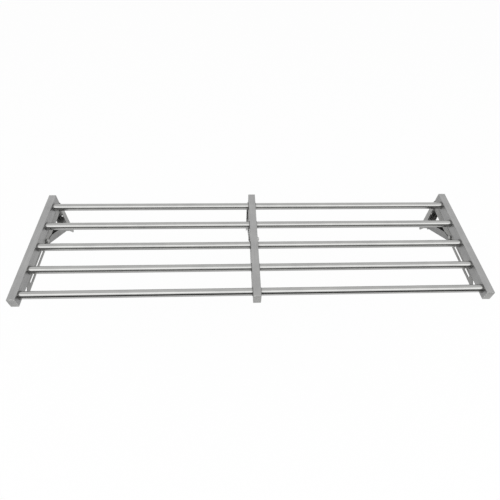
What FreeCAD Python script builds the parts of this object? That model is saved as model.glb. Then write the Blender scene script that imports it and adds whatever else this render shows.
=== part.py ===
import FreeCAD, Part
import math
import os

os.makedirs("parts", exist_ok=True)

# Shelf layout. Depth is measured forward from the wall, drop downward from the arms' top.
shelf_width = 1200.0
shelf_depth = 365.0
arm_width = 20.0
arm_height = 30.0
arm_wall = 1.5
arm_corner_r = 1.5
arm_rear_gap = 1.0
cap_thickness = 1.5
tube_r = 10.0
tube_wall = 1.2
tube_rows = 5
tube_first_depth = 37.0
tube_row_pitch = 76.2
weld_leg = 1.5
weld_edge = 0.3

# Clearances shared by everything that fits together.
running_clear = 0.05
piece_clear = 0.3
hole_clear = 0.3

# Wall channel.
channel_half_width = 14.0
channel_sheet = 1.5
channel_bend_r = 1.5
channel_top_half_width = 10.0
channel_top_drop = 31.0
channel_shoulder_drop = 40.0
channel_bottom_drop = 157.0
flange_top_depth = 14.0
flange_hinge_depth = 17.0
flange_hinge_drop = 46.0
flange_strut_depth = 22.0
flange_strut_drop = 110.0
flange_toe_drop = 134.0
flange_toe_depth = 8.0
screw_hole_r = 2.75
screw_span = 36.0
screw_centre_drop = 70.0

# Fold axis, leg under the arm and its slot.
pivot_pin_r = 3.0
hinge_depth = 10.5
hinge_drop = 44.0
leg_half_width = 10.0
leg_sheet = 1.5
leg_bend_r = 2.0
leg_front_depth = 322.0
leg_bottom_drop = 50.0
leg_ear_r = 6.5
leg_chamfer = 2.5
leg_cut_depth = 18.0
leg_cut_drop = 16.0
slot_bolt_r = 3.5
slot_drop = 38.5
slot_rear_depth = 146.0
slot_front_inset = 37.0
leg_rivet_rear_inset = 22.0
leg_rivet_slot_inset = 34.0
leg_rivet_front_inset = 27.0
leg_rivet_r = 2.0
leg_rivet_head_r = 3.5
leg_rivet_head = 1.2
leg_rivet_bulb_r = 3.2
leg_rivet_bulb = 4.0
leg_rivet_round = 0.8

# Strut and its two pivots. The folded leg lies inside the strut because the pivot's depth is
# the hinge's depth plus the hinge's drop less the slot's drop. The ramp behind the cradle is
# flatter than the bolt's way back into it.
strut_sheet = 1.2
strut_bend_r = 2.0
strut_pivot_depth = 16.0
strut_pivot_drop = 117.0
strut_above = 6.0
strut_web_clear = 0.6
strut_heel = 8.0
strut_heel_start = 2.0
strut_web_short = 10.0
strut_nose_r = 5.2
cradle_ramp_angle = 17.0

# Heads, sleeves and nuts on the pivots.
head_r = 5.0
head_thickness = 2.0
head_round = 1.0
sleeve_r = 5.0
nut_sides = 6
nut_across_flats = 10.0
nut_thickness = 3.2
nut_cap_r = 4.6
nut_cap = 1.6
nut_cap_round = 1.2

# Sizes that follow from the ones above.
arm_pitch = (shelf_width - arm_width) / 2.0
arm_top_z = screw_centre_drop
slot_front_depth = leg_front_depth - slot_front_inset
leg_rivet_depths = (
    hinge_depth + leg_rivet_rear_inset,
    slot_rear_depth - leg_rivet_slot_inset,
    leg_front_depth - leg_rivet_front_inset,
)
leg_reach = leg_bottom_drop - slot_drop
strut_inner_half = leg_half_width + piece_clear
strut_outer_half = strut_inner_half + strut_sheet
strut_below = leg_reach + strut_web_clear + strut_sheet
strut_run = slot_rear_depth - strut_pivot_depth
strut_rise = strut_pivot_drop - slot_drop
strut_length = math.hypot(strut_run, strut_rise)
strut_angle = math.degrees(math.atan2(strut_rise, strut_run))
channel_inner_half = channel_half_width - channel_sheet
pivot_hole_r = pivot_pin_r + running_clear
fixed_hole_r = pivot_pin_r + hole_clear
head_seat = strut_outer_half + piece_clear
arm_stations = (("left", -arm_pitch), ("mid", 0.0), ("right", arm_pitch))
bays = (("left", -arm_pitch), ("right", 0.0))
along_x = FreeCAD.Vector(1.0, 0.0, 0.0)
along_y = FreeCAD.Vector(0.0, 1.0, 0.0)
origin = FreeCAD.Vector(0.0, 0.0, 0.0)
tolerance = 1e-4


def place(x, depth, drop):
    """Return the point at a width, a depth from the wall and a drop below the arms' top."""
    return FreeCAD.Vector(x, -depth, arm_top_z - drop)


def save(name, shape):
    """Write one node's solid."""
    shape.exportStep("parts/" + name + ".step")


def cylinder_x(x_low, x_high, depth, drop, radius):
    """Return a cylinder that runs along the width."""
    return Part.makeCylinder(radius, x_high - x_low, place(x_low, depth, drop), along_x)


def plate_x(x_low, x_high, outline):
    """Return a plate that stands front to back, from its (depth, drop) outline."""
    points = [place(x_low, depth, drop) for depth, drop in outline]
    face = Part.Face(Part.makePolygon(points + points[:1]))
    return face.extrude(FreeCAD.Vector(x_high - x_low, 0.0, 0.0))


def edges_along_y(solid, levels):
    """Return the straight front-to-back edges that lie at one of the heights."""
    chosen = []
    for edge in solid.Edges:
        first = edge.Vertexes[0].Point
        last = edge.Vertexes[-1].Point
        level = any(abs(first.z - z) < tolerance and abs(last.z - z) < tolerance for z in levels)
        if level and abs(first.x - last.x) < tolerance and abs(first.y - last.y) > tolerance:
            chosen.append(edge)
    return chosen


def bar(width, height, drop, depth_low, depth_high, corner):
    """Return a front-to-back bar with rounded long edges, or sharp ones for a zero corner."""
    corner_point = place(-width / 2.0, depth_high, drop + height)
    solid = Part.makeBox(width, depth_high - depth_low, height, corner_point)
    if corner > 0.0:
        levels = (corner_point.z, corner_point.z + height)
        solid = solid.makeFillet(corner, edges_along_y(solid, levels))
    return solid


def channel(half, sheet, bend, web_z, open_z, y_low, y_high):
    """Return a front-to-back channel whose web's outer face is at web_z."""
    low = min(web_z, open_z)
    height = abs(open_z - web_z)
    solid = Part.makeBox(2.0 * half, y_high - y_low, height, FreeCAD.Vector(-half, y_low, low))
    solid = solid.makeFillet(bend, edges_along_y(solid, (web_z,)))
    inner_low = low + sheet
    if open_z < web_z:
        inner_low = low - sheet
    hollow_corner = FreeCAD.Vector(sheet - half, y_low, inner_low)
    hollow = Part.makeBox(2.0 * (half - sheet), y_high - y_low, height, hollow_corner)
    return solid.cut(hollow)


def round_head(x_seat, outward, depth, drop, radius, thickness, rounding):
    """Return a low head that seats at x_seat and stands outward along the width."""
    direction = FreeCAD.Vector(outward, 0.0, 0.0)
    head = Part.makeCylinder(radius, thickness, place(x_seat, depth, drop), direction)
    far = x_seat + outward * thickness
    rim = [edge for edge in head.Edges if abs(edge.CenterOfMass.x - far) < tolerance]
    return head.makeFillet(rounding, rim)


def moved(shape, x):
    """Return a copy of a shape at another width."""
    copy = shape.copy()
    copy.translate(FreeCAD.Vector(x, 0.0, 0.0))
    return copy


def make_arm():
    """Return the rectangular tube, without its end plates and with the leg's rivet holes."""
    rear = arm_rear_gap + cap_thickness
    front = shelf_depth - cap_thickness
    outer = bar(arm_width, arm_height, 0.0, rear, front, arm_corner_r)
    inner_width = arm_width - 2.0 * arm_wall
    inner_height = arm_height - 2.0 * arm_wall
    tube = outer.cut(bar(inner_width, inner_height, arm_wall, rear, front, 0.0))
    for depth in leg_rivet_depths:
        tube = tube.cut(rivet_hole(depth))
    return tube


def make_cap(depth_low):
    """Return the flat plate that closes one end of an arm."""
    return bar(arm_width, arm_height, 0.0, depth_low, depth_low + cap_thickness, arm_corner_r)


def rivet_hole(depth):
    """Return the clearance hole for one rivet through the leg's web and the arm's floor."""
    bottom = place(0.0, depth, arm_height + leg_sheet)
    return Part.makeCylinder(leg_rivet_r + hole_clear, arm_wall + leg_sheet, bottom)


def make_leg_rivet(depth):
    """Return one blind rivet: head under the leg's web, bulb on the arm's floor."""
    web_under = place(0.0, depth, arm_height + leg_sheet)
    floor = place(0.0, depth, arm_height - arm_wall)
    head_low = place(0.0, depth, arm_height + leg_sheet + leg_rivet_head)
    head = Part.makeCylinder(leg_rivet_head_r, leg_rivet_head, head_low)
    rim = [edge for edge in head.Edges if abs(edge.CenterOfMass.z - head_low.z) < tolerance]
    head = head.makeFillet(leg_rivet_round, rim)
    shank = Part.makeCylinder(leg_rivet_r, floor.z - web_under.z, web_under)
    bulb = Part.makeCylinder(leg_rivet_bulb_r, leg_rivet_bulb, floor)
    top = floor.z + leg_rivet_bulb
    rim = [edge for edge in bulb.Edges if abs(edge.CenterOfMass.z - top) < tolerance]
    bulb = bulb.makeFillet(leg_rivet_round, rim)
    return head.fuse(shank).fuse(bulb).removeSplitter()


def make_tube(x_low, depth):
    """Return one round tube between the facing sides of two arms."""
    start = x_low + arm_width / 2.0
    end = x_low + arm_pitch - arm_width / 2.0
    outer = cylinder_x(start, end, depth, arm_height / 2.0, tube_r)
    return outer.cut(cylinder_x(start, end, depth, arm_height / 2.0, tube_r - tube_wall))


def make_weld(x_face, outward, depth):
    """Return the fillet bead around one tube's end."""
    inner = tube_r + piece_clear
    direction = FreeCAD.Vector(outward, 0.0, 0.0)
    base = place(x_face, depth, arm_height / 2.0)
    cone = Part.makeCone(inner + weld_leg, inner + weld_edge, weld_leg, base, direction)
    return cone.cut(Part.makeCylinder(inner, weld_leg, base, direction))


def make_leg():
    """Return the slotted channel under an arm, with ears round the fold axis."""
    web_z = arm_top_z - arm_height
    open_z = arm_top_z - leg_bottom_drop
    ear_rear = hinge_depth - leg_ear_r
    section = channel(leg_half_width, leg_sheet, leg_bend_r, web_z, open_z, -leg_front_depth, -ear_rear)
    outline = (
        (arm_rear_gap, arm_height),
        (leg_front_depth - leg_cut_depth, arm_height),
        (leg_front_depth, arm_height + leg_cut_drop),
        (leg_front_depth, leg_bottom_drop - leg_chamfer),
        (leg_front_depth - leg_chamfer, leg_bottom_drop),
        (hinge_depth, leg_bottom_drop),
        (arm_rear_gap, hinge_drop),
    )
    side = plate_x(-leg_half_width, leg_half_width, outline)
    side = side.fuse(cylinder_x(-leg_half_width, leg_half_width, hinge_depth, hinge_drop, leg_ear_r))
    leg = section.common(side)
    slot_r = slot_bolt_r + running_clear
    slot_outline = (
        (slot_rear_depth, slot_drop - slot_r),
        (slot_front_depth, slot_drop - slot_r),
        (slot_front_depth, slot_drop + slot_r),
        (slot_rear_depth, slot_drop + slot_r),
    )
    slot = plate_x(-leg_half_width, leg_half_width, slot_outline)
    slot = slot.fuse(cylinder_x(-leg_half_width, leg_half_width, slot_rear_depth, slot_drop, slot_r))
    slot = slot.fuse(cylinder_x(-leg_half_width, leg_half_width, slot_front_depth, slot_drop, slot_r))
    leg = leg.cut(slot)
    leg = leg.cut(cylinder_x(-leg_half_width, leg_half_width, hinge_depth, hinge_drop, pivot_hole_r))
    for depth in leg_rivet_depths:
        leg = leg.cut(rivet_hole(depth))
    return leg.removeSplitter()


def make_wall_channel():
    """Return the channel that screws to the wall and carries both pivots."""
    web_outline = (
        (-channel_top_half_width, channel_top_drop),
        (channel_top_half_width, channel_top_drop),
        (channel_half_width, channel_shoulder_drop),
        (channel_half_width, channel_bottom_drop),
        (-channel_half_width, channel_bottom_drop),
        (-channel_half_width, channel_shoulder_drop),
    )
    points = [place(x, 0.0, drop) for x, drop in web_outline]
    web = Part.Face(Part.makePolygon(points + points[:1]))
    solid = web.extrude(FreeCAD.Vector(0.0, -channel_sheet, 0.0))
    flange = (
        (0.0, channel_shoulder_drop),
        (flange_top_depth, channel_shoulder_drop),
        (flange_hinge_depth, flange_hinge_drop),
        (flange_strut_depth, flange_strut_drop),
        (flange_strut_depth, flange_toe_drop),
        (flange_toe_depth, channel_bottom_drop),
        (0.0, channel_bottom_drop),
    )
    for x_low in (-channel_half_width, channel_inner_half):
        solid = solid.fuse(plate_x(x_low, x_low + channel_sheet, flange))
    solid = solid.removeSplitter()
    bends = []
    for edge in solid.Edges:
        middle = edge.CenterOfMass
        on_side = abs(abs(middle.x) - channel_half_width) < tolerance
        if on_side and abs(middle.y) < tolerance:
            bends.append(edge)
    solid = solid.makeFillet(channel_bend_r, bends)
    for depth, drop in ((hinge_depth, hinge_drop), (strut_pivot_depth, strut_pivot_drop)):
        solid = solid.cut(cylinder_x(-channel_half_width, channel_half_width, depth, drop, fixed_hole_r))
    for offset in (-screw_span / 2.0, screw_span / 2.0):
        start = place(0.0, 0.0, screw_centre_drop + offset)
        solid = solid.cut(Part.makeCylinder(screw_hole_r, channel_sheet, start, along_y.negative()))
    return solid


def strut_prism(outline):
    """Return the strut's full width of an outline of runs along its axis and rises above it."""
    points = [FreeCAD.Vector(-strut_outer_half, -run, rise) for run, rise in outline]
    face = Part.Face(Part.makePolygon(points + points[:1]))
    return face.extrude(FreeCAD.Vector(2.0 * strut_outer_half, 0.0, 0.0))


def make_strut():
    """Return the diagonal channel with a pivot at its heel and an open cradle at its nose."""
    end = strut_length + strut_nose_r
    section = channel(
        strut_outer_half, strut_sheet, strut_bend_r, -strut_below, strut_above, -end, strut_heel
    )
    outline = (
        (-strut_heel, strut_above),
        (-strut_heel, -strut_heel),
        (strut_heel_start, -strut_below),
        (strut_length - strut_web_short, -strut_below),
        (strut_length, -strut_nose_r),
        (strut_length, strut_above),
    )
    nose_centre = FreeCAD.Vector(-strut_outer_half, -strut_length, 0.0)
    nose = Part.makeCylinder(strut_nose_r, 2.0 * strut_outer_half, nose_centre, along_x)
    strut = section.common(strut_prism(outline).fuse(nose))
    cradle_r = slot_bolt_r + piece_clear
    cradle = Part.makeCylinder(cradle_r, 2.0 * strut_outer_half, nose_centre, along_x)
    ramp = math.radians(cradle_ramp_angle)
    seat_run = strut_length - cradle_r * math.sin(ramp)
    seat_rise = -cradle_r * math.cos(ramp)
    ramp_rise = seat_rise + seat_run * math.tan(ramp)
    mouth = (
        (strut_length, 0.0),
        (seat_run, seat_rise),
        (0.0, ramp_rise),
        (end, ramp_rise),
        (end, 0.0),
    )
    strut = strut.cut(strut_prism(mouth).fuse(cradle))
    heel_centre = FreeCAD.Vector(-strut_outer_half, 0.0, 0.0)
    strut = strut.cut(Part.makeCylinder(pivot_hole_r, 2.0 * strut_outer_half, heel_centre, along_x))
    strut = strut.removeSplitter()
    strut.rotate(origin, along_x, -strut_angle)
    strut.translate(place(0.0, strut_pivot_depth, strut_pivot_drop))
    return strut


def make_hinge_pin():
    """Return the pin on the fold axis, headed outside both flanges."""
    pin = cylinder_x(-channel_half_width, channel_half_width, hinge_depth, hinge_drop, pivot_pin_r)
    for outward in (-1.0, 1.0):
        seat = outward * channel_half_width
        head = round_head(seat, outward, hinge_depth, hinge_drop, head_r, head_thickness, head_round)
        pin = pin.fuse(head)
    return pin.removeSplitter()


def make_hinge_sleeve(outward):
    """Return the spacer between a leg's ear and a flange."""
    near = outward * (leg_half_width + piece_clear)
    far = outward * channel_inner_half
    x_low = min(near, far)
    x_high = max(near, far)
    sleeve = cylinder_x(x_low, x_high, hinge_depth, hinge_drop, sleeve_r)
    return sleeve.cut(cylinder_x(x_low, x_high, hinge_depth, hinge_drop, fixed_hole_r))


def make_strut_rivet(outward):
    """Return the shoulder rivet that carries one side of a strut in its flange."""
    inner_end = outward * strut_inner_half
    shoulder = outward * head_seat
    inside = outward * channel_inner_half
    outside = outward * channel_half_width
    shank = cylinder_x(
        min(inner_end, outside), max(inner_end, outside), strut_pivot_depth, strut_pivot_drop, pivot_pin_r
    )
    collar = cylinder_x(
        min(shoulder, inside), max(shoulder, inside), strut_pivot_depth, strut_pivot_drop, sleeve_r
    )
    head = round_head(
        outside, outward, strut_pivot_depth, strut_pivot_drop, head_r, head_thickness, head_round
    )
    return shank.fuse(collar).fuse(head).removeSplitter()


def make_slot_bolt():
    """Return the bolt through the strut's cradle and the leg's slot."""
    bolt_end = head_seat + nut_thickness
    bolt = cylinder_x(-head_seat, bolt_end, slot_rear_depth, slot_drop, slot_bolt_r)
    head = round_head(
        -head_seat, -1.0, slot_rear_depth, slot_drop, head_r, head_thickness, head_round
    )
    return bolt.fuse(head).removeSplitter()


def make_slot_nut():
    """Return the cap nut whose blind bore ends on the bolt."""
    corner_r = nut_across_flats / 2.0 / math.cos(math.pi / nut_sides)
    centre = place(head_seat, slot_rear_depth, slot_drop)
    points = []
    for step in range(nut_sides):
        turn = 2.0 * math.pi * step / nut_sides
        offset = FreeCAD.Vector(0.0, corner_r * math.sin(turn), corner_r * math.cos(turn))
        points.append(centre.add(offset))
    hexagon = Part.Face(Part.makePolygon(points + points[:1]))
    nut = hexagon.extrude(FreeCAD.Vector(nut_thickness, 0.0, 0.0))
    bolt_end = head_seat + nut_thickness
    nut = nut.cut(
        cylinder_x(head_seat, bolt_end, slot_rear_depth, slot_drop, slot_bolt_r + hole_clear)
    )
    dome = round_head(bolt_end, 1.0, slot_rear_depth, slot_drop, nut_cap_r, nut_cap, nut_cap_round)
    return nut.fuse(dome).removeSplitter()


arm = make_arm()
front_cap = make_cap(shelf_depth - cap_thickness)
rear_cap = make_cap(arm_rear_gap)
leg = make_leg()
wall_channel = make_wall_channel()
strut = make_strut()
slot_bolt = make_slot_bolt()
slot_nut = make_slot_nut()
leg_rivets = []
hinge_pins = []
hinge_sleeves = []
strut_rivets = []

for side, x in arm_stations:
    save("arm_" + side, moved(arm, x))
    save("cap_front_" + side, moved(front_cap, x))
    save("cap_rear_" + side, moved(rear_cap, x))
    save("leg_" + side, moved(leg, x))
    save("wall_channel_" + side, moved(wall_channel, x))
    save("strut_" + side, moved(strut, x))
    save("slot_bolt_" + side, moved(slot_bolt, x))
    save("slot_nut_" + side, moved(slot_nut, x))
    leg_rivets += [moved(make_leg_rivet(depth), x) for depth in leg_rivet_depths]
    hinge_pins.append(moved(make_hinge_pin(), x))
    for outward in (-1.0, 1.0):
        hinge_sleeves.append(moved(make_hinge_sleeve(outward), x))
        strut_rivets.append(moved(make_strut_rivet(outward), x))

welds = []
for bay, x_low in bays:
    for row in range(tube_rows):
        depth = tube_first_depth + row * tube_row_pitch
        save("tube_" + bay + "_" + str(row + 1), make_tube(x_low, depth))
        welds.append(make_weld(x_low + arm_width / 2.0, 1.0, depth))
        welds.append(make_weld(x_low + arm_pitch - arm_width / 2.0, -1.0, depth))

save("tube_welds", Part.makeCompound(welds))
save("leg_rivets", Part.makeCompound(leg_rivets))
save("hinge_pins", Part.makeCompound(hinge_pins))
save("hinge_sleeves", Part.makeCompound(hinge_sleeves))
save("strut_rivets", Part.makeCompound(strut_rivets))
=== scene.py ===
"""Dresses the folding wall shelf: three satin arms, ten polished tubes and three wall brackets."""

import logging
import math
from dataclasses import dataclass
from enum import Enum
from typing import Any, ClassVar

import bpy
import numpy as np
from mathutils import Matrix, Vector


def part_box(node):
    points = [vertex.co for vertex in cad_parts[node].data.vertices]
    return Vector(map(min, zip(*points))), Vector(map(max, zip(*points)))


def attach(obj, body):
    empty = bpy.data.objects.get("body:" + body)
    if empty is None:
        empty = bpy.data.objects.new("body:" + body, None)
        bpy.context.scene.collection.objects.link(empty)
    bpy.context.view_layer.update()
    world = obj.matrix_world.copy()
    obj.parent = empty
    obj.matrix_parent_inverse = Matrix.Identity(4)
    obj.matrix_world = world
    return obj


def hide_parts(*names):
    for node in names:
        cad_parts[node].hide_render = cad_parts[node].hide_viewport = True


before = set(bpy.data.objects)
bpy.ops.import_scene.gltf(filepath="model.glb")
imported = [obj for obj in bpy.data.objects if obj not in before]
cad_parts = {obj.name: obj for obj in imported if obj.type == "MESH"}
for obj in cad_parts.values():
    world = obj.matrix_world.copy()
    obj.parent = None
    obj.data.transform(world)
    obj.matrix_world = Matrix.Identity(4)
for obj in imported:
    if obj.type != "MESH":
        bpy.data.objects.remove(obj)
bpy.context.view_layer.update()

MM = 0.001
STATIONS = ("left", "mid", "right")
BAYS = ("left", "right")
ROWS = 5
log = logging.getLogger("wall_shelf")


class Grain(Enum):
    """Direction in which a surface was worked."""

    WIDTH = (1, 0, 0)
    DEPTH = (0, 1, 0)
    HEIGHT = (0, 0, 1)


def linear(hex_colour: str) -> tuple[float, float, float, float]:
    """Turn an sRGB hex colour into linear light.

    Args:
        hex_colour: a hash sign and six hex digits.

    Returns:
        Red, green, blue and full alpha.
    """
    srgb = np.array([int(hex_colour[i : i + 2], 16) for i in (1, 3, 5)]) / 255.0
    light = np.where(srgb <= 0.04045, srgb / 12.92, ((srgb + 0.055) / 1.055) ** 2.4)
    return (*light.tolist(), 1.0)


def add_node(
    tree: bpy.types.NodeTree, kind: str, inputs: dict[Any, Any] | None = None, **settings: Any
) -> bpy.types.Node:
    """Add one node, give it its settings, and set or link its inputs.

    Args:
        tree: the node tree.
        kind: the node's type name.
        inputs: an input's name or number, with a constant or the output that feeds it.
        **settings: the node's own properties.

    Returns:
        The new node.
    """
    node = tree.nodes.new(kind)
    for name, value in settings.items():
        setattr(node, name, value)
    for name, value in (inputs or {}).items():
        if isinstance(value, bpy.types.NodeSocket):
            tree.links.new(value, node.inputs[name])
        else:
            node.inputs[name].default_value = value
    return node


def new_material(name: str) -> tuple[bpy.types.Material, bpy.types.NodeTree]:
    """Make an empty node material.

    Args:
        name: the material's name.

    Returns:
        The material and its emptied node tree.
    """
    material = bpy.data.materials.new(name)
    material.use_nodes = True
    material.node_tree.nodes.clear()
    return material, material.node_tree


def new_piece(name: str, points: np.ndarray, faces: np.ndarray) -> bpy.types.Object:
    """Put a surface into a smooth mesh object at the origin.

    Args:
        name: the object's name.
        points: vertices in metres, one row each.
        faces: corner numbers, one row of four for each face.

    Returns:
        The linked object.
    """
    mesh = bpy.data.meshes.new(name)
    mesh.from_pydata(points.tolist(), [], faces.tolist())
    mesh.polygons.foreach_set("use_smooth", np.ones(len(faces), bool))
    mesh.validate()
    mesh.update()
    piece = bpy.data.objects.new(name, mesh)
    bpy.context.scene.collection.objects.link(piece)
    return piece


def ring_faces(around: int, along: int, copies: int) -> np.ndarray:
    """Number the faces of rings that are closed both round and across.

    Face (i, j) joins steps i and i + 1 of the round and j and j + 1 of the section, both counted
    back to nought at their ends, and each copy adds a whole ring of vertices.

    Args:
        around: steps round the ring.
        along: steps round the section.
        copies: how many rings lie one after another in the vertex list.

    Returns:
        Four corner numbers for each face.
    """
    i, j = np.meshgrid(np.arange(around), np.arange(along), indexing="ij")
    k, m = (i + 1) % around, (j + 1) % along
    one = np.stack([i * along + j, k * along + j, k * along + m, i * along + m], -1).reshape(-1, 4)
    return (one[None] + (np.arange(copies) * around * along)[:, None, None]).reshape(-1, 4)


@dataclass(frozen=True)
class Noise:
    """A noise whose values from low to high are spread out to 0 and 1."""

    detail: float
    roughness: float
    low: float
    high: float

    def draw(
        self, tree: bpy.types.NodeTree, place: bpy.types.NodeSocket, scale: float
    ) -> bpy.types.NodeSocket:
        """Add the noise to a material.

        Args:
            tree: the material's node tree.
            place: the coordinates it is drawn on.
            scale: patches to a unit of those coordinates.

        Returns:
            A value from 0 to 1.
        """
        noise = add_node(
            tree,
            "ShaderNodeTexNoise",
            {"Vector": place, "Scale": scale, "Detail": self.detail, "Roughness": self.roughness},
        )
        spread = add_node(
            tree,
            "ShaderNodeMapRange",
            {"Value": noise.outputs["Fac"], "From Min": self.low, "From Max": self.high},
        )
        return spread.outputs["Result"]


@dataclass(frozen=True)
class SteelFinish:
    """Stainless steel whose surface keeps the lines of the way it was worked.

    Sizes are in millimetres and colours in sRGB hex.
    """

    name: str
    dark: str
    pale: str
    # Colour of the bright edges: partly wear, partly a painted highlight.
    edge: str
    grain: Grain
    line_width: float
    line_length: float
    cloud: float
    smooth: float
    rough: float
    depth: float
    edge_radius: float
    # Reach of the painted shade in corners and hollows, in millimetres.
    painted_shade_reach: float = 16.0
    tilt: float = 0.0
    centre: tuple[float, float, float] = (0.0, 0.0, 0.0)

    LINE_NOISE: ClassVar[Noise] = Noise(detail=3.0, roughness=0.6, low=0.3, high=0.7)
    CLOUD_NOISE: ClassVar[Noise] = Noise(detail=4.0, roughness=0.55, low=0.32, high=0.68)
    CLOUD_SHARE: ClassVar[float] = 0.45
    BEVEL_RAYS: ClassVar[int] = 4
    # Where the bright edges start and are full: partly wear, partly a painted highlight.
    RUB_AND_HIGHLIGHT_STARTS: ClassVar[float] = 0.985
    RUB_AND_HIGHLIGHT_FULL: ClassVar[float] = 0.86
    # Painted shade in corners and hollows: its rays, its dark grey, and the open shares at which it
    # starts and is full.
    PAINTED_SHADE_RAYS: ClassVar[int] = 6
    PAINTED_SHADE_COLOUR: ClassVar[str] = "#3B3B3A"
    PAINTED_SHADE_STARTS: ClassVar[float] = 0.75
    PAINTED_SHADE_FULL: ClassVar[float] = 0.15

    def lines(self, tree: bpy.types.NodeTree, place: bpy.types.NodeSocket) -> bpy.types.NodeSocket:
        """Draw the working lines as noise drawn out along the grain.

        Args:
            tree: the material's node tree.
            place: Object coordinates in metres.

        Returns:
            A value from 0 to 1.
        """
        size = [(self.line_length if axis else self.line_width) * MM for axis in self.grain.value]
        spot = add_node(
            tree,
            "ShaderNodeMapping",
            {"Vector": place, "Rotation": (self.tilt, 0.0, 0.0), "Scale": size},
            vector_type="TEXTURE",
        )
        return self.LINE_NOISE.draw(tree, spot.outputs[0], 1.0)

    def clouds(self, tree: bpy.types.NodeTree, place: bpy.types.NodeSocket) -> bpy.types.NodeSocket:
        """Draw soft uneven patches, as handling and rolling leave them.

        Args:
            tree: the material's node tree.
            place: Object coordinates in metres.

        Returns:
            A value from 0 to 1.
        """
        return self.CLOUD_NOISE.draw(tree, place, 1.0 / (self.cloud * MM))

    def material(self) -> bpy.types.Material:
        """Build the finish.

        Returns:
            The node material.
        """
        material, tree = new_material(self.name)
        place = add_node(tree, "ShaderNodeTexCoord").outputs["Object"]
        lines = self.lines(tree, place)
        clouds = self.clouds(tree, place)
        # Lines and patches share one value, so that a pale streak is also a smooth one.
        worked = add_node(
            tree, "ShaderNodeMix", {0: self.CLOUD_SHARE, 2: lines, 3: clouds}, data_type="FLOAT"
        ).outputs[0]
        steel = add_node(
            tree,
            "ShaderNodeMix",
            {0: worked, 6: linear(self.dark), 7: linear(self.pale)},
            data_type="RGBA",
        ).outputs[2]
        # Edges are brighter where the rounded normal leaves the flat one: partly the rubbing of hands
        # and cloths, partly a painted highlight along the edge.
        soft = add_node(
            tree, "ShaderNodeBevel", {"Radius": self.edge_radius * MM}, samples=self.BEVEL_RAYS
        ).outputs[0]
        flat = add_node(tree, "ShaderNodeNewGeometry").outputs["Normal"]
        match = add_node(tree, "ShaderNodeVectorMath", {0: soft, 1: flat}, operation="DOT_PRODUCT")
        rub_and_highlight = add_node(
            tree,
            "ShaderNodeMapRange",
            {
                "Value": match.outputs["Value"],
                "From Min": self.RUB_AND_HIGHLIGHT_STARTS,
                "From Max": self.RUB_AND_HIGHLIGHT_FULL,
            },
        ).outputs["Result"]
        bright = add_node(
            tree, "ShaderNodeMix", {0: rub_and_highlight, 6: steel, 7: linear(self.edge)}, data_type="RGBA"
        ).outputs[2]
        # Painted shade: corners and hollows, where ambient occlusion finds other surfaces close by, are
        # darkened towards a dark grey that stands in for the shadows there.
        open_share = add_node(
            tree,
            "ShaderNodeAmbientOcclusion",
            {"Distance": self.painted_shade_reach * MM},
            samples=self.PAINTED_SHADE_RAYS,
        ).outputs["AO"]
        painted_shade = add_node(
            tree,
            "ShaderNodeMapRange",
            {"Value": open_share, "From Min": self.PAINTED_SHADE_STARTS, "From Max": self.PAINTED_SHADE_FULL},
        ).outputs["Result"]
        colour = add_node(
            tree,
            "ShaderNodeMix",
            {0: painted_shade, 6: bright, 7: linear(self.PAINTED_SHADE_COLOUR)},
            data_type="RGBA",
        ).outputs[2]
        rough = add_node(
            tree,
            "ShaderNodeMapRange",
            {"Value": worked, "To Min": self.rough, "To Max": self.smooth},
        ).outputs["Result"]
        bump = add_node(
            tree,
            "ShaderNodeBump",
            {"Strength": 1.0, "Distance": self.depth * MM, "Height": lines, "Normal": soft},
        ).outputs[0]
        shader = add_node(
            tree,
            "ShaderNodeBsdfPrincipled",
            {"Base Color": colour, "Metallic": 1.0, "Roughness": rough, "Normal": bump},
        )
        add_node(tree, "ShaderNodeOutputMaterial", {"Surface": shader.outputs[0]})
        return material


@dataclass(frozen=True)
class TurnedSteel(SteelFinish):
    """Stainless steel turned on a lathe, with rings about the piece's own axis."""

    # A wave texture at a scale of one makes one ring in each tenth of pi.
    RING_STEP: ClassVar[float] = math.pi / 10.0
    RING_WOBBLE: ClassVar[float] = 0.6
    RING_DETAIL: ClassVar[float] = 1.0

    def lines(self, tree: bpy.types.NodeTree, place: bpy.types.NodeSocket) -> bpy.types.NodeSocket:
        """Draw the tool's rings as bands about the width axis through the centre.

        Args:
            tree: the material's node tree.
            place: Object coordinates in metres.

        Returns:
            A value from 0 to 1.
        """
        spot = add_node(
            tree,
            "ShaderNodeMapping",
            {"Vector": place, "Location": self.centre},
            vector_type="TEXTURE",
        )
        rings = add_node(
            tree,
            "ShaderNodeTexWave",
            {
                "Vector": spot.outputs[0],
                "Scale": self.RING_STEP / (self.line_width * MM),
                "Distortion": self.RING_WOBBLE,
                "Detail": self.RING_DETAIL,
            },
            wave_type="RINGS",
            rings_direction="X",
        )
        return rings.outputs["Fac"]


# Rectangular tube brushed with a belt along its length: soft grey, no mirror image, fine long lines.
# The lines are a tenth of a millimetre wide, and are drawn ten times coarser so that they show.
BRUSHED_TUBE = SteelFinish(
    name="brushed_stainless_tube",
    dark="#989898",
    pale="#AEAEAD",
    edge="#C8C8C7",
    grain=Grain.DEPTH,
    line_width=1.1,
    line_length=90.0,
    cloud=38.0,
    smooth=0.27,
    rough=0.42,
    depth=0.012,
    edge_radius=0.9,
)

# End plates brushed across, so that they part from the tube by their grain.
BRUSHED_PLATE = SteelFinish(
    name="brushed_stainless_plate",
    dark="#9C9C9B",
    pale="#B2B2B0",
    edge="#CFCFCD",
    grain=Grain.WIDTH,
    line_width=0.9,
    line_length=40.0,
    cloud=22.0,
    smooth=0.3,
    rough=0.45,
    depth=0.012,
    edge_radius=0.9,
)

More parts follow.
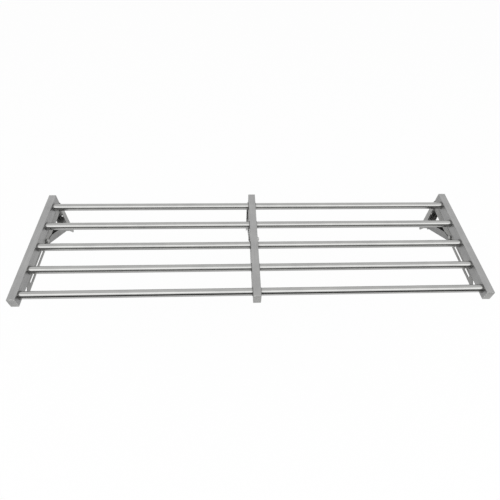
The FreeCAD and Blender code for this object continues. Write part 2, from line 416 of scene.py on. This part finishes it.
# Round tube polished bright on a wheel: clear stretched images with a faint wobble and haze along it.
POLISHED_TUBE = SteelFinish(
    name="polished_stainless_tube",
    dark="#A4A4A3",
    pale="#B5B5B3",
    edge="#CDCDCB",
    grain=Grain.WIDTH,
    line_width=2.2,
    line_length=140.0,
    cloud=45.0,
    smooth=0.1,
    rough=0.18,
    depth=0.01,
    edge_radius=0.4,
)

# Cold-rolled sheet, pressed and folded: duller than the tubes, with rolling lines and cloudy patches.
PRESSED_SHEET = SteelFinish(
    name="pressed_stainless_sheet",
    dark="#9C9C9B",
    pale="#B6B6B4",
    edge="#CACAC8",
    grain=Grain.HEIGHT,
    line_width=1.0,
    line_length=30.0,
    cloud=14.0,
    smooth=0.3,
    rough=0.46,
    depth=0.01,
    edge_radius=0.6,
    # The painted shade in its corners reaches only 7 mm.
    painted_shade_reach=7.0,
)

# The leg is the same sheet, rolled along the leg.
LEG_SHEET = SteelFinish(
    name="pressed_stainless_leg",
    dark="#8C8C8B",
    pale="#A8A8A6",
    edge="#CACAC8",
    grain=Grain.DEPTH,
    line_width=1.0,
    line_length=45.0,
    cloud=16.0,
    smooth=0.3,
    rough=0.46,
    depth=0.01,
    edge_radius=0.6,
)

# The strut's rolling lines follow its slope.
STRUT_SHEET = SteelFinish(
    name="pressed_stainless_strut",
    dark="#808080",
    pale="#A2A2A1",
    edge="#CDCDCB",
    grain=Grain.DEPTH,
    line_width=1.0,
    line_length=40.0,
    cloud=15.0,
    smooth=0.28,
    rough=0.44,
    depth=0.01,
    edge_radius=0.6,
    # The painted shade in its hollows reaches only 4 mm.
    painted_shade_reach=4.0,
    tilt=math.radians(-31.1),
)

# Weld bead left by filler rod and brushed clean: duller and darker than the tube beside it. Part of its
# dark tone is painted shade, standing in for the contact shadow round each tube end.
BRUSHED_WELD_AND_SHADE = SteelFinish(
    name="brushed_weld_bead_and_painted_shade",
    dark="#4E4E4D",
    pale="#8A8988",
    edge="#9C9B9A",
    grain=Grain.WIDTH,
    line_width=0.7,
    line_length=1.4,
    cloud=3.0,
    smooth=0.28,
    rough=0.5,
    depth=0.03,
    edge_radius=0.3,
)

# Blind rivets are drawn, not turned: an even fine grain with no rings.
DRAWN_RIVET = SteelFinish(
    name="drawn_stainless_rivet",
    dark="#9A9A99",
    pale="#BCBCBA",
    edge="#D6D6D4",
    grain=Grain.HEIGHT,
    line_width=0.6,
    line_length=1.2,
    cloud=4.0,
    smooth=0.18,
    rough=0.34,
    depth=0.006,
    edge_radius=0.4,
)


def turned(name: str, depth: float, height: float) -> TurnedSteel:
    """Give the turned finish for fasteners that share an axis along the width.

    A lathe leaves rings finer than a tenth of a millimetre, drawn here at half a millimetre.

    Args:
        name: the material's name.
        depth: the axis' place from front to back, in metres.
        height: the axis' height, in metres.

    Returns:
        The finish.
    """
    return TurnedSteel(
        name=name,
        dark="#A2A2A1",
        pale="#C4C4C2",
        edge="#DCDCDA",
        grain=Grain.WIDTH,
        line_width=0.5,
        line_length=1.0,
        cloud=5.0,
        smooth=0.12,
        rough=0.26,
        depth=0.006,
        edge_radius=0.4,
        centre=(0.0, depth, height),
    )


def dress(names: list[str], finish: SteelFinish) -> None:
    """Give nodes of the frame one finish.

    Args:
        names: the nodes.
        finish: what they are dressed in.
    """
    material = finish.material()
    for name in names:
        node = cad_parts[name]
        node.data.materials.clear()
        node.data.materials.append(material)
        log.info("dressed %s in %s", name, finish.name)


@dataclass
class Arms:
    """The three rectangular tubes with their end plates."""

    tube: SteelFinish = BRUSHED_TUBE
    plate: SteelFinish = BRUSHED_PLATE

    def build(self) -> None:
        """Dress the tubes and their plates."""
        dress([f"arm_{side}" for side in STATIONS], self.tube)
        plates = [f"cap_{end}_{side}" for end in ("front", "rear") for side in STATIONS]
        dress(plates, self.plate)


@dataclass
class TubeRows:
    """The round tubes of both bays, and the beads that hold them."""

    finish: SteelFinish = POLISHED_TUBE
    # The beads' dark tone is partly painted shade at the tube ends.
    weld: SteelFinish = BRUSHED_WELD_AND_SHADE
    bead_leg: float = 1.3 * MM
    bead_sink: float = 0.15 * MM
    ripple: float = 0.07
    ripples: int = 22
    ripple_lean: float = 1.6
    round_steps: int = 132
    section_steps: int = 8

    def tube_names(self) -> list[str]:
        """Return the tubes' node names."""
        return [f"tube_{bay}_{row}" for bay in BAYS for row in range(1, ROWS + 1)]

    def bead_points(self) -> np.ndarray:
        """Work out every bead as a ring swept about its tube's end.

        With u round the tube and v from the arm's face to the tube's side, the bead's radius is
        leg * (1 + ripple * cos(ripples * u - lean * v)). A quarter circle of that radius about the
        corner of face and tube gives the skin, and the corner itself, a little sunk, closes it.

        Returns:
            Vertices of all the beads, ring after ring.
        """
        low = np.array([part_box(name)[0] for name in self.tube_names()])
        high = np.array([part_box(name)[1] for name in self.tube_names()])
        radius = (high[:, 2] - low[:, 2]).mean() / 2.0
        ends = np.concatenate([low[:, 0], high[:, 0]])
        outward = np.repeat([1.0, -1.0], len(low))
        centre = np.tile((low + high)[:, 1:] / 2.0, (2, 1))
        u = np.linspace(0.0, 2.0 * math.pi, self.round_steps, endpoint=False)[:, None]
        v = np.linspace(0.0, math.pi / 2.0, self.section_steps - 1)[None, :]
        leg = self.bead_leg * (1.0 + self.ripple * np.cos(self.ripples * u - self.ripple_lean * v))
        run = np.concatenate([leg * np.sin(v), np.zeros_like(u)], 1)
        rise = np.concatenate([leg * np.cos(v), np.zeros_like(u) - self.bead_sink], 1)
        rise[:, self.section_steps - 2] -= self.bead_sink
        x = ends[:, None, None] + outward[:, None, None] * run
        y = centre[:, 0, None, None] + outward[:, None, None] * (radius + rise) * np.cos(u)
        z = centre[:, 1, None, None] + (radius + rise) * np.sin(u)
        return np.stack([x, y, z], -1).reshape(-1, 3)

    def build(self) -> None:
        """Dress the tubes and lay the rippled beads in place of the plain rings."""
        dress(self.tube_names(), self.finish)
        points = self.bead_points()
        rings = len(points) // (self.round_steps * self.section_steps)
        beads = new_piece("weld_beads", points, ring_faces(self.round_steps, self.section_steps, rings))
        beads.data.materials.append(self.weld.material())
        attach(beads, "shelf")
        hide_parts("tube_welds")
        log.info("laid %d weld beads", rings)


@dataclass
class Brackets:
    """The wall channels, legs and struts."""

    channel: SteelFinish = PRESSED_SHEET
    leg: SteelFinish = LEG_SHEET
    strut: SteelFinish = STRUT_SHEET

    def build(self) -> None:
        """Dress the folded sheet pieces."""
        dress([f"wall_channel_{side}" for side in STATIONS], self.channel)
        dress([f"leg_{side}" for side in STATIONS], self.leg)
        dress([f"strut_{side}" for side in STATIONS], self.strut)


@dataclass
class Fasteners:
    """Pins, bolts, nuts and rivets."""

    rivet: SteelFinish = DRAWN_RIVET

    def axis(self, name: str) -> tuple[float, float]:
        """Return the depth and height of a node's axis along the width."""
        low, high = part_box(name)
        return (low.y + high.y) / 2.0, (low.z + high.z) / 2.0

    def build(self) -> None:
        """Dress each kind of fastener about its own axis."""
        for name in ("hinge_pins", "hinge_sleeves", "strut_rivets"):
            dress([name], turned(f"turned_stainless_{name}", *self.axis(name)))
        bolts = [f"slot_bolt_{side}" for side in STATIONS] + [f"slot_nut_{side}" for side in STATIONS]
        dress(bolts, turned("turned_stainless_slot_bolts", *self.axis(bolts[0])))
        dress(["leg_rivets"], self.rivet)


@dataclass(frozen=True)
class Card:
    """A flat sheet that only reflections show, fading from a dark edge to the room's white.

    Corners and places are in metres.
    """

    name: str
    corners: tuple[tuple[float, float, float], ...]
    axis: str
    dark_at: float
    white_at: float
    dark: str

    ROOM_COLOUR: ClassVar[str] = "#FFFFFF"

    def build(self) -> None:
        """Stand the sheet and shade it along its axis, smoothly and without a hard edge."""
        piece = new_piece(self.name, np.array(self.corners), np.array([[0, 1, 2, 3]]))
        piece.visible_camera = False
        piece.visible_diffuse = False
        piece.visible_shadow = False
        material, tree = new_material(f"{self.name}_paper")
        place = add_node(tree, "ShaderNodeTexCoord").outputs["Object"]
        along = add_node(tree, "ShaderNodeSeparateXYZ", {0: place}).outputs[self.axis]
        share = add_node(
            tree,
            "ShaderNodeMapRange",
            {"Value": along, "From Min": self.dark_at, "From Max": self.white_at},
            interpolation_type="SMOOTHSTEP",
        ).outputs["Result"]
        colour = add_node(
            tree,
            "ShaderNodeMix",
            {0: share, 6: linear(self.dark), 7: linear(self.ROOM_COLOUR)},
            data_type="RGBA",
        ).outputs[2]
        paper = add_node(tree, "ShaderNodeEmission", {"Color": colour})
        add_node(tree, "ShaderNodeOutputMaterial", {"Surface": paper.outputs[0]})
        piece.data.materials.append(material)


# Dark low sheet in front: the polished tubes show it as the dark line under their highlight.
FRONT_CARD = Card(
    name="front_card",
    corners=((-6.0, -1.6, -0.44), (6.0, -1.6, -0.44), (6.0, -1.6, 1.1), (-6.0, -1.6, 1.1)),
    axis="Z",
    dark_at=0.25,
    white_at=1.1,
    dark="#3C3C3C",
)

# Grey sheet on the floor behind: the arms' sides and the brackets show it.
FLOOR_CARD = Card(
    name="floor_card",
    corners=((-3.0, -0.6, -0.44), (3.0, -0.6, -0.44), (3.0, 3.0, -0.44), (-3.0, 3.0, -0.44)),
    axis="Y",
    dark_at=0.3,
    white_at=3.0,
    dark="#E0E0E0",
)


@dataclass
class Studio:
    """White floor and walls of light, a broad lamp above the front and two cards."""

    floor_height: float = -0.45
    floor_reach: float = 14.0
    floor_colour: str = "#F2F2F2"
    glow_share: float = 0.92
    room_colour: str = "#FFFFFF"
    ambient: float = 0.85
    lamp_place: tuple[float, float, float] = (0.0, -1.33, 1.94)
    lamp_target: tuple[float, float, float] = (0.0, -0.18, 0.06)
    lamp_size: tuple[float, float] = (8.0, 1.75)
    lamp_radiance: float = 0.9
    cards: tuple[Card, ...] = (FRONT_CARD, FLOOR_CARD)

    def seen_white(self, tree: bpy.types.NodeTree) -> bpy.types.NodeSocket:
        """Tell the rays that show the background from those that light the object.

        Args:
            tree: a node tree.

        Returns:
            1 for camera, glossy and transmission rays, otherwise 0.
        """
        path = add_node(tree, "ShaderNodeLightPath").outputs
        first = add_node(
            tree,
            "ShaderNodeMath",
            {0: path["Is Camera Ray"], 1: path["Is Glossy Ray"]},
            operation="MAXIMUM",
        )
        return add_node(
            tree,
            "ShaderNodeMath",
            {0: first.outputs[0], 1: path["Is Transmission Ray"]},
            operation="MAXIMUM",
        ).outputs[0]

    def floor(self) -> None:
        """Lay a pale floor that shows white and takes the object's shadow."""
        r = self.floor_reach
        h = self.floor_height
        corners = np.array([[-r, -r, h], [r, -r, h], [r, r, h], [-r, r, h]])
        piece = new_piece("studio_floor", corners, np.array([[0, 1, 2, 3]]))
        material, tree = new_material("pale_studio_paper")
        paper = add_node(tree, "ShaderNodeBsdfDiffuse", {"Color": linear(self.floor_colour)})
        glow = add_node(tree, "ShaderNodeEmission", {"Strength": 1.0})
        share = add_node(
            tree,
            "ShaderNodeMath",
            {0: self.seen_white(tree), 1: self.glow_share},
            operation="MULTIPLY",
        )
        blend = add_node(
            tree,
            "ShaderNodeMixShader",
            {0: share.outputs[0], 1: paper.outputs[0], 2: glow.outputs[0]},
        )
        add_node(tree, "ShaderNodeOutputMaterial", {"Surface": blend.outputs[0]})
        piece.data.materials.append(material)

    def lamp(self) -> None:
        """Hang the broad lamp, with its power worked out from the brightness of its face."""
        light = bpy.data.lights.new("front_lamp", "AREA")
        light.shape = "RECTANGLE"
        light.size, light.size_y = self.lamp_size
        light.energy = self.lamp_radiance * math.pi * light.size * light.size_y
        lamp = bpy.data.objects.new("front_lamp", light)
        lamp.location = self.lamp_place
        aim = Vector(self.lamp_target) - Vector(self.lamp_place)
        lamp.rotation_euler = aim.to_track_quat("-Z", "Y").to_euler()
        lamp.visible_camera = False
        bpy.context.scene.collection.objects.link(lamp)

    def world(self) -> None:
        """Light the room evenly, white where it is seen."""
        world = bpy.data.worlds.new("white_room")
        bpy.context.scene.world = world
        world.use_nodes = True
        tree = world.node_tree
        tree.nodes.clear()
        level = add_node(
            tree,
            "ShaderNodeMapRange",
            {"Value": self.seen_white(tree), "To Min": self.ambient, "To Max": 1.0},
        )
        sky = add_node(
            tree,
            "ShaderNodeBackground",
            {"Color": linear(self.room_colour), "Strength": level.outputs["Result"]},
        )
        add_node(tree, "ShaderNodeOutputWorld", {"Surface": sky.outputs[0]})

    def build(self) -> None:
        """Set up the room."""
        self.floor()
        for card in self.cards:
            card.build()
        self.lamp()
        self.world()
        log.info("studio ready")


@dataclass
class ViewCamera:
    """The camera at the photograph's angle: place in metres, turns in degrees."""

    place: tuple[float, float, float] = (-0.0625, -0.8897, 0.8889)
    yaw: float = 4.225
    pitch: float = 50.58
    roll: float = -2.688
    focal_share: float = 0.7912
    sensor: float = 36.0
    near: float = 0.01

    def build(self) -> None:
        """Turn the camera by yaw, then pitch down, then roll, and make it the scene's own."""
        yaw, pitch, roll = (math.radians(turn) for turn in (self.yaw, self.pitch, self.roll))
        ahead = Vector(
            (
                math.sin(yaw) * math.cos(pitch),
                math.cos(yaw) * math.cos(pitch),
                -math.sin(pitch),
            )
        )
        level = Vector((math.cos(yaw), -math.sin(yaw), 0.0))
        down = ahead.cross(level)
        right = math.cos(roll) * level + math.sin(roll) * down
        up = math.sin(roll) * level - math.cos(roll) * down
        data = bpy.data.cameras.new("view_camera")
        data.sensor_width = self.sensor
        data.lens = self.focal_share * self.sensor
        data.clip_start = self.near
        camera = bpy.data.objects.new("view_camera", data)
        turn = Matrix((right, up, -ahead)).transposed()
        camera.matrix_world = Matrix.Translation(self.place) @ turn.to_4x4()
        bpy.context.scene.collection.objects.link(camera)
        bpy.context.scene.camera = camera
        log.info("camera at %s", self.place)


def main() -> None:
    """Build and dress the shelf, then the room and the camera."""
    logging.basicConfig(level=logging.INFO, format="%(name)s: %(message)s")
    for part in (Arms(), TubeRows(), Brackets(), Fasteners(), Studio(), ViewCamera()):
        part.build()
    bpy.context.scene.view_settings.view_transform = "Standard"


if __name__ == "__main__":
    main()
